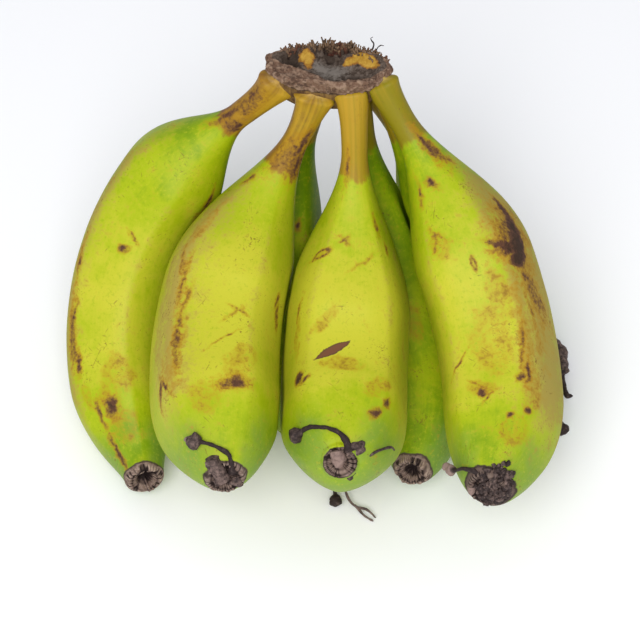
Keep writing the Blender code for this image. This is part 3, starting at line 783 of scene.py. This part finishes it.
# The outline is a rounded oblong with a few lumps. Each ring of the profile takes a share of it, and the
# band's lower edge rises towards the ends by a power of the distance.
def crownGrid():
    height, share = throughPoints(crown["profile"], crown["rings"]).T
    a = np.linspace(0.0, 2.0 * math.pi, crown["columns"], endpoint=False)
    reach = (1.0 + 0.022 * np.sin(5 * a + 0.7) + 0.018 * np.sin(9 * a + 2.1)) * oblong(a)
    x = crown["halfWidth"] * share[:, None] * (reach * np.cos(a))[None]
    y = crown["halfDepth"] * share[:, None] * (reach * np.sin(a))[None]
    z = height[:, None] + 0.4 * np.sin(3 * a + 0.4)[None] * share[:, None]
    off = np.minimum(abs(x) / crown["halfWidth"], 1.0)
    lift = np.where(x < 0.0, crown["endLift"][0] * off ** 2, crown["endLift"][1] * off ** 3)
    z = z + lift * bell(height, crown["rimBottom"], 3.0)[:, None]
    onTop = (np.arange(crown["rings"]) > np.argmax(height + 0.5 * share)) + 0.0
    inside = onTop[:, None] * smooth((0.99 - share) / 0.14)[:, None]
    return x, y, z, height[:, None] + 0.0 * x, inside


def bumps(x, y, places):  # a sum of bells, each with its place, half sizes and height
    return sum(h * np.exp(-((x - u) / halfX) ** 2 - ((y - v) / halfY) ** 2)
               for u, v, halfX, halfY, h in places)


# The cushion: the lip and the dish with its hollows and humps on top, the root set further back the lower it
# is, warts on the band and a rough cut. Pith shows between two lines in the dish and in a few round spots.
def makeCrown():
    x, y, z, height, inside = crownGrid()
    lip = np.interp(x, *np.transpose(crown["lipEdge"]))
    onLip = smooth((lip - y) / crown["lipSoftness"] + 0.5) * inside
    z = z + onLip * (crown["lipHeight"] - z) * crown["lipShare"]
    relief = bumps(x, y, crown["hollows"]) + bumps(x, y, crown["humps"])
    z = z + relief * inside * (1.0 - onLip)
    back = crown["rootSetBack"] * smooth((crown["rimBottom"] - z) / (crown["rootDepth"] + crown["rimBottom"]))
    turnedX, turnedY = turnedPlan(x, y)
    points = np.stack((turnedX, turnedY + back, z), axis=-1) + crown["centre"]
    under = smooth((crown["rimBottom"] - 0.4 - height) / 0.8) * (1.0 - inside)
    band = np.clip(1.0 - under - inside + onLip, 0.0, 1.0)
    du, dv = np.gradient(points, axis=0), np.roll(points, -1, axis=1) - np.roll(points, 1, axis=1)
    outward = unit(np.cross(dv, du))
    size = crown["wartSize"]
    warts = np.maximum(grain(points, size, 8), -0.2) + 0.5 * np.maximum(grain(points, size / 2.1, 9), -0.2)
    rough = 0.40 * grain(points, 4.0, 10) + 0.28 * grain(points, 1.7, 11)
    move = crown["wartHeight"] * warts * band + rough * (0.35 + inside) * (1.0 - under)
    points = points + outward * move[..., None]
    x, y = x + 0.6 * grain(points, 3.0, 15), y + 0.5 * grain(points, 2.2, 16)
    coreDepth = np.minimum(np.interp(x, *np.transpose(crown["coreTop"]), left=-9, right=-9) - y,
                           y - np.interp(x, *np.transpose(crown["coreBottom"]), left=-9, right=-9))
    for u, v, halfX, halfY in crown["spots"]:
        spot = min(halfX, halfY) * (1.0 - np.hypot((x - u) / halfX, (y - v) / halfY))
        coreDepth = np.maximum(coreDepth, spot)
    # Painted shade in the hollows of the dish, the notch under the back fringe among them
    dark = np.clip(-bumps(x, y, crown["hollows"]) / 1.5, 0.0, 1.0) * inside * (1.0 - onLip)
    grey = bumps(x, y, crown["greys"]) * inside
    attributes = {
        "band": band, "core": np.where(inside > 0.4, np.clip(coreDepth, -3.0, 3.0), -3.0),
        "dark": dark, "grey": grey, "under": under, "wart": warts,
        # painted shade along the crease under the band's lower edge
        "crease": np.exp(-((height - crown["rimBottom"] + 0.4) / 0.5) ** 2) * (1.0 - inside),
    }
    ends = (points[0].mean(axis=0), points[-1].mean(axis=0))
    obj = closedMesh("crownCushion", crownMaterial(), points[None], ends, attributes, flip=True)
    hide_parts("crown")
    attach(obj, "root")


crownColours = {key: linear(value) for key, value in {
    "band": "#6A5040",
    "bandHighlight": "#8E7562",
    "bandDark": "#3A2A22",
    "dish": "#62544A",
    "dishDark": "#32271F",
    "grey": "#7A736C",
    "core": "#9C7424",
    "corePale": "#B8923C",
    "coreBrown": "#7E4E20",
    "flesh": "#86683A",
    "rootDark": "#4C3524",
    "crease": "#2C1E17",
    "fibreFoot": "#2C201A",
    "fibreTip": "#80664E",
    "fibreRed": "#5C3428",
}.items()}


# Cut and dried banana crown: cork-like grey-brown, matt all over, pinkish where the band healed, with two
# places of yellow pith that show through the weathered cut. Painted shade darkens the hollows of the dish and
# the crease under the band, and painted highlights pale the tops of the warts. Sizes of its patterns are
# given in mm.
def crownMaterial():
    m, add, lay = newMaterial("driedCrown")
    c = crownColours
    place = add("TexCoord", out="Object")
    upright = add("VectorMath", (place, (1.0, 1.0, 0.12)), operation="MULTIPLY")
    patch, grit, fibre = [
        add("TexNoise", {"Vector": vector, "Scale": 1 / (size * mm), "Detail": 4, "Roughness": rough})
        for vector, size, rough in ((place, 4, 0.65), (place, 1.1, 0.7), (upright, 2.5, 0.6))]
    both = add("Math", (patch, 1.0, grit))
    dish = lay(c["dishDark"], c["dish"], 0.75, 1.25, 1.0, both)
    dish = lay(dish, c["grey"], 1.8, 2.9, 0.75, "grey", (both, 1.8))
    # Painted shade: darker in the hollows of the dish
    dish = lay(dish, c["dishDark"], 0.75, 1.3, 0.7, "dark", (both, 0.6))
    pith = add("MapRange", (both, 0.8, 1.2, 0.0, 1.0), interpolation_type="LINEAR")
    pith = add("Mix", (pith, c["core"], c["corePale"]))
    edge = add("Math", (both, 2.0, "core"))
    pith = lay(pith, c["coreBrown"], 3.2, 2.2, 0.8, edge)
    dish = lay(dish, pith, 1.9, 2.3, 1.0, edge)
    # Painted highlight: paler on the raised tops of the warts
    warty = add("Math", (grit, 1.6, "wart"))
    warty = add("MapRange", (warty, 0.6, 1.5, 0.0, 1.0), interpolation_type="LINEAR")
    band = add("Mix", (warty, c["band"], c["bandHighlight"]))
    band = lay(band, c["bandDark"], 1.05, 0.75, 0.75, both)
    colour = lay(dish, band, 0.5, 0.9, 1.0, "band", (grit, 0.4))
    root = lay(c["rootDark"], c["flesh"], 0.62, 0.98, 1.0, fibre, (patch, 0.6))
    colour = lay(colour, root, 0.5, 0.9, 1.0, "under", (patch, 0.4))
    # Painted shade: a dark line in the crease under the band's lower edge
    crease = add("Math", ("crease", 0.85), operation="MULTIPLY")
    colour = add("Mix", (crease, colour, c["crease"]))
    height = add("Math", (fibre, "under"), operation="MULTIPLY")
    height = add("Math", (height, 1.5, grit))
    normal = add("Bump", {"Height": height, "Strength": 0.5, "Distance": 0.4 * mm})
    finishShader(m, Base_Color=colour, Normal=normal, Roughness=0.85, IOR=1.45, Specular_IOR_Level=0.25)
    return m


makeCrown()
print("crown made")

fringe = {
    "count": 300,
    "from": 16.0,  # degrees from the right, anticlockwise
    "to": 143.0,
    "foot": -0.9,  # mm above the crown's centre
    "height": (0.8, 4.4),  # least and most in mm, as is the radius
    "radius": (0.32, 0.95),
    "steps": 7,
    "sides": 5,
    "curls": (  # each a path in mm from the crown's centre
        ((16.8, 9.0, 0.6), (17.4, 9.8, 3.0), (16.6, 10.2, 4.4), (16.2, 10.4, 5.4), (17.0, 10.6, 6.0)),
        ((18.0, 8.4, 0.6), (19.0, 9.0, 2.2), (20.0, 9.4, 2.8), (21.2, 9.4, 2.6)),
        ((-14.2, 7.0, 0.6), (-14.5, 8.0, 2.0), (-13.9, 8.6, 2.8)),
        ((-13.2, 7.2, 0.6), (-13.0, 8.2, 2.0), (-12.4, 8.8, 2.6)),
    ),
    "curlRadius": 0.33,
    "curlSteps": 24,
}


# A straw-like stub stands at each place along the back of the rim, in four rows. Its height is a share of a
# wave along the rim, it leans by a random turn, and it thins to its tip. Four long curls stand out from it.
def makeFringe():
    draw = np.random.default_rng(23)
    n = fringe["count"]
    low, high = fringe["from"], fringe["to"]
    a = np.radians(low + (high - low) * (np.arange(n) + draw.uniform(-2.0, 2.0, n)) / n)
    row = draw.integers(0, 4, n)
    share = 0.80 + 0.055 * row + draw.uniform(-0.02, 0.02, n)
    reach = share * oblong(a)
    x, y = crown["halfWidth"] * reach * np.cos(a), crown["halfDepth"] * reach * np.sin(a)
    foot = np.stack((*turnedPlan(x, y), np.full(n, fringe["foot"])), axis=-1)
    clump = 0.5 + 0.30 * np.sin(a * 17.0) + 0.25 * np.sin(a * 31.0 + 1.0)
    tall = bell(x, 1.0, 16.0) * (0.3 + 0.7 * clump) * draw.uniform(0.5, 1.1, n)
    shortest, tallest = fringe["height"]
    rise = shortest + (tallest - shortest) * tall
    lean = np.stack((draw.normal(0.0, 0.26, n), 0.18 + draw.normal(0.0, 0.2, n), np.ones(n)), axis=-1)
    s = np.linspace(0.0, 1.0, fringe["steps"])
    bend = np.stack((draw.normal(0.0, 0.8, n), draw.normal(0.2, 0.6, n), np.zeros(n)), axis=-1)
    paths = foot[:, None] + lean[:, None] * ((rise + 1.6)[:, None] * s)[..., None]
    paths = paths + bend[:, None] * (s ** 2)[None, :, None] + crown["centre"]
    thin, thick = fringe["radius"]
    radii = draw.uniform(thin, thick, n)[:, None] * (1.0 - 0.55 * s ** 1.5)[None]
    heights = {"height": s + 0.0 * radii}
    obj = tubes("crownFringe", fibreMaterial(), paths, radii, fringe["sides"], 0.6, 0.6, heights)
    n = fringe["curlSteps"]
    curlPaths = [throughPoints(path, n) + crown["centre"] for path in fringe["curls"]]
    taper = fringe["curlRadius"] * (1.0 - 0.6 * np.linspace(0.0, 1.0, n)) * np.ones((len(curlPaths), 1))
    curls = tubes("crownCurls", threadPaint, curlPaths, taper, 6, 0.3, 0.8, {})
    for piece in (obj, curls):
        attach(piece, "root")


# Torn vascular fibres, dried: dark at the foot and straw coloured at the frayed tips, fully matt.
def fibreMaterial():
    m, add, lay = newMaterial("driedFibre")
    c = crownColours
    place = add("TexCoord", out="Object")
    patch, red = [add("TexNoise", {"Vector": place, "Scale": 1 / (size * mm), "Detail": detail})
                  for size, detail in ((2, 3), (5, 2))]
    colour = lay(c["fibreFoot"], c["fibreTip"], 1.3, 2.4, 1.0, "height", (patch, 2.2))
    colour = lay(colour, c["fibreRed"], 0.5, 0.65, 0.7, red)
    finishShader(m, Base_Color=colour, Roughness=0.9, IOR=1.45, Specular_IOR_Level=0.2)
    return m


# Dried style and petals of the flower: leathery, nearly black threads, greyer on the knobs.
def threadMaterial():
    m, add, lay = newMaterial("driedFlower")
    place = add("TexCoord", out="Object")
    patch = add("TexNoise", {"Vector": place, "Scale": 1 / (1.6 * mm), "Detail": 4, "Roughness": 0.7})
    dark, pale = linear(remains["dark"]), linear(remains["pale"])
    colour = lay(dark, pale, 0.5, 1.1, 1.0, patch, ("knob", 0.5))
    normal = add("Bump", {"Height": patch, "Strength": 0.6, "Distance": 0.3 * mm})
    finishShader(m, Base_Color=colour, Normal=normal, Roughness=0.7, IOR=1.45, Specular_IOR_Level=0.3)
    return m


# What is left of the flower at each end. Paths are in mm to the right, up and outward from the blossom end,
# with the radius of the thread's foot, of the thread, and of the knob at its far end, and the paleness of the
# knob, or else of the whole thread.
remains = {
    "dark": "#2A1F1D",
    "pale": "#8A736A",
    "least": 0.9,  # mm from the floor to the middle of a thread
    "steps": 44,
    "sides": 14,
    "threads": {
        "front_1": (),
        "front_2": (
            (((2.6, 3, 1), (1.8, 10.5, 0.3), (-2.2, 12.9, -2.2), (-6.6, 13.6, -4), (-10.2, 13.4, -5.6),
              (-13.2, 11.6, -6.2)), 1.8, 0.8, 3.0, 0.35),
            (((-1.5, 0, 0.5), (-3.5, 5, 0.6), (-4.8, 9.5, -1.0)), 3.8, 2.8, 0.0, 0.45),
            (((3, -1, 0), (4.5, -3, 0), (5, -5, -0.5)), 2.6, 2.2, 0.0, 0.35),
            (((-9.6, 13.4, -5.4), (-12.0, 14.2, -6.2), (-14.2, 13.2, -6.8)), 0.8, 1.2, 0.0, 0.7),
        ),
        "front_3": (
            (((3, 4.5, 0.5), (1.5, 9, 0.5), (-2.2, 11.4, -1), (-7, 11.8, -3.2), (-11.4, 11, -5.6),
              (-15, 8.9, -7.4), (-19.2, 5.0, -9.8)), 2.4, 0.8, 3.0, 0.25),
            (((5, 1, 0), (9, 1, -2), (14, 3, -4.5), (18, 3.2, -8), (19.5, 1.4, -10)), 0.9, 0.5, 0.0, 0.3),
            (((2, 4, 0.5), (5, 5.6, 0), (9, 7.0, -1.6)), 2.0, 1.3, 0.0, 0.35),
            (((4, 2, 0.4), (6.5, 3.4, -0.2), (9, 4.8, -1.8)), 1.7, 1.1, 0.0, 0.45),
            (((0, -1.5, -1.5), (-0.5, 1.5, 0.5), (-1, 4.5, 0)), 3.0, 2.4, 0.0, 0.95),
            (((4.5, -1, -1), (4.6, -4.6, -1), (2, -6.8, -1.2)), 1.9, 1.5, 0.0, 0.2),
        ),
        "front_4": (
            (((-2, 4.5, 0.5), (-5, 6.2, 0), (-9.6, 5.8, -1), (-13.6, 2.6, -3.2), (-16.6, -0.4, -5.6)),
             1.5, 0.8, 2.0, 1.2),
            (((-15, 0.5, -4.2), (-17.8, 1.2, -6.4), (-18.6, -1.4, -6.8)), 0.8, 1.3, 0.0, 1.2),
            (((-6.5, 1, 0), (-6.5, -3, 0.3), (-4.5, -6.5, 0)), 1.6, 1.3, 0.0, 1.0),
        ),
        "back_1": (
            (((2, -3, 0), (4, -6, 7), (5, -9, 13), (5, -10.5, 18)), 1.4, 0.9, 2.6, 0.05),
            (((4, -2, 0), (8, -8, 8), (10.2, -10, 14.8), (13, -10, 18.3), (17.3, -10, 19.8),
              (20.6, -10, 23.4)), 0.7, 0.5, 0.0, 0.5),
            (((12.6, -10, 17.8), (14, -10, 19.6), (16.2, -10, 22.4), (19.6, -10, 24.8)), 0.6, 0.4, 0.0, 0.6),
        ),
        "back_2": (),
        "back_3": ((((5, 0, 1), (9, -2, 2.5), (12.6, -3.5, 4.6)), 1.2, 0.9, 2.8, 0.1),),
        "back_4": (
            (((4, -3, 0), (6.2, -4, 5.0), (3.2, -4, 11.0), (-0.6, -4, 16.5)), 2.0, 2.2, 0.0, 0.45),
            (((0, -4, 15), (-3.4, -4.5, 21), (-5.6, -5, 25.5), (-3.8, -5, 27.5)), 1.6, 1.0, 0.0, 0.1),
        ),
    },
}


def fromTip(f, places):  # places to the right, up and outward from a blossom end
    out = f["along"][-1]
    right = unit(np.array((1.0, 0.0, 0.0)) - out * out[0])
    up = np.cross(out, right)
    p = np.asarray(places, dtype=float)
    return f["line"][-1] + p[:, :1] * right + p[:, 1:2] * up + p[:, 2:] * out


# Each thread narrows from its foot, swells to a ball as a knob over its last millimetres, and ends round.
def makeRemains(name, f, threads):
    paths, radii, knobs = [], [], []
    n = remains["steps"]
    for places, foot, thread, knob, paleness in threads:
        path = throughPoints(fromTip(f, places), n)
        path[:, 2] = np.maximum(path[:, 2], remains["least"])
        run = np.concatenate(([0.0], np.cumsum(np.linalg.norm(np.diff(path, axis=0), axis=1))))
        left = run[-1] - run
        r = thread + (foot - thread) * np.exp(-run / 2.5)
        if knob > 0.0:
            ball = np.sqrt(np.maximum(1.0 - ((left - knob) / knob) ** 2, 0.02))
            r = np.where(left < 2.0 * knob, np.maximum(r, knob * ball), r)
        r = r * np.sqrt(np.clip(left / 0.8, 0.08, 1.0))
        paths.append(path)
        radii.append(r)
        knobs.append(paleness * (smooth((2.2 * knob - left) / 1.5) if knob > 0.0 else np.ones(n)))
    knobs = {"knob": np.array(knobs)}
    obj = tubes("driedFlower_" + name, threadPaint, paths, radii, remains["sides"], 0.42, 2.0, knobs)
    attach(obj, "root")


crumbs = {
    "count": 300,
    "middle": (2.0, 1.0),  # mm to the right and up from the blossom end
    "reach": (6.8, 8.4),
    "climb": 0.55,  # how much further up they lie for each mm to the right
    "outward": 2.3,
    "sink": 0.02,  # times the distance squared
    "highSink": (5.0, 0.25),  # above this height, times the height beyond it
    "size": (0.45, 1.15),
    "steps": 7,
}


# The crumbly dark mass on one blossom end: lumpy balls strewn evenly over an oval that climbs to the right,
# each a short tube with the radius of a ball.
def makeCrumbs(name, f):
    draw = np.random.default_rng(5)
    n = crumbs["count"]
    turn, spread = draw.uniform(0.0, 2.0 * math.pi, n), np.sqrt(draw.uniform(0.0, 1.0, n))
    right, up = crumbs["middle"]
    wide, tall = crumbs["reach"]
    x = right + wide * spread * np.cos(turn)
    y = up + tall * spread * np.sin(turn) + crumbs["climb"] * np.maximum(x, 0.0)
    high, share = crumbs["highSink"]
    depth = crumbs["outward"] - crumbs["sink"] * np.hypot(x, y) ** 2 - share * np.maximum(y - high, 0.0)
    middle = fromTip(f, np.stack((x, y, depth), axis=-1))
    axis = unit(draw.normal(0.0, 1.0, (n, 3)))
    size = draw.uniform(*crumbs["size"], n)
    s = np.linspace(-1.0, 1.0, crumbs["steps"])
    paths = middle[:, None] + axis[:, None] * (size[:, None] * s)[..., None]
    radii = size[:, None] * np.sqrt(np.maximum(1.0 - s ** 2, 0.03))[None]
    pale = draw.uniform(-0.1, 0.5, n)[:, None] * np.ones_like(s)
    obj = tubes("crumbs_" + name, threadPaint, paths, radii, 8, 0.8, 0.9, {"knob": pale})
    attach(obj, "root")


threadPaint = threadMaterial()
makeFringe()
for name, threads in remains["threads"].items():
    if threads:
        makeRemains(name, fruits[name], threads)
makeCrumbs("front_4", fruits["front_4"])
print("fringe and flower remains made")

# The camera stands where the photographer stood: 50 degrees down, through a long lens

view = {
    "centre": (-0.5, -600.5, 772.1),  # mm
    "down": 50.0,
    "lens": 135.0,
    "sensor": 36.0,
}
cameraData = bpy.data.cameras.new("camera")
cameraData.lens = view["lens"]
cameraData.sensor_width = view["sensor"]
cameraData.clip_end = 20.0
camera = addObject("camera", cameraData)
camera.location = [v * mm for v in view["centre"]]
camera.rotation_euler = (math.radians(90.0 - view["down"]), 0.0, 0.0)
bpy.context.scene.camera = camera

# A plain pale floor and soft studio light: a bright sky all round and one large lamp behind the camera

studio = {
    "floorSize": 6.0,  # m
    "floorColour": "#FBFBFC",
    "skyColour": "#F8FAFF",
    "skyStrength": 0.66,
    "lampPlace": (-0.14, -0.97, 1.08),
    "lampAim": (0.0, 0.0, 0.05),
    "lampSize": 0.8,
    "lampPower": 16.0,
}
floorMesh = bpy.data.meshes.new("floor")
h = studio["floorSize"] / 2.0
floorMesh.from_pydata([(-h, -h, 0.0), (h, -h, 0.0), (h, h, 0.0), (-h, h, 0.0)], [], [(0, 1, 2, 3)])
floor = addObject("floor", floorMesh)
floorPaint = newMaterial("floorPaint")[0]
finishShader(floorPaint, Base_Color=linear(studio["floorColour"]), Roughness=0.7)
floorMesh.materials.append(floorPaint)

world = bpy.data.worlds.new("studio")
world.use_nodes = True
world.node_tree.nodes["Background"].inputs["Color"].default_value = linear(studio["skyColour"])
world.node_tree.nodes["Background"].inputs["Strength"].default_value = studio["skyStrength"]
bpy.context.scene.world = world

lampData = bpy.data.lights.new("softbox", "AREA")
lampData.size = studio["lampSize"]
lampData.energy = studio["lampPower"]
lamp = addObject("softbox", lampData)
lamp.location = studio["lampPlace"]
aim = np.subtract(studio["lampAim"], studio["lampPlace"])
tilt = math.acos(-aim[2] / np.linalg.norm(aim))
lamp.rotation_euler = (tilt, 0.0, math.atan2(aim[1], aim[0]) - math.pi / 2.0)
bpy.context.scene.view_settings.view_transform = "Standard"
print("stage set")
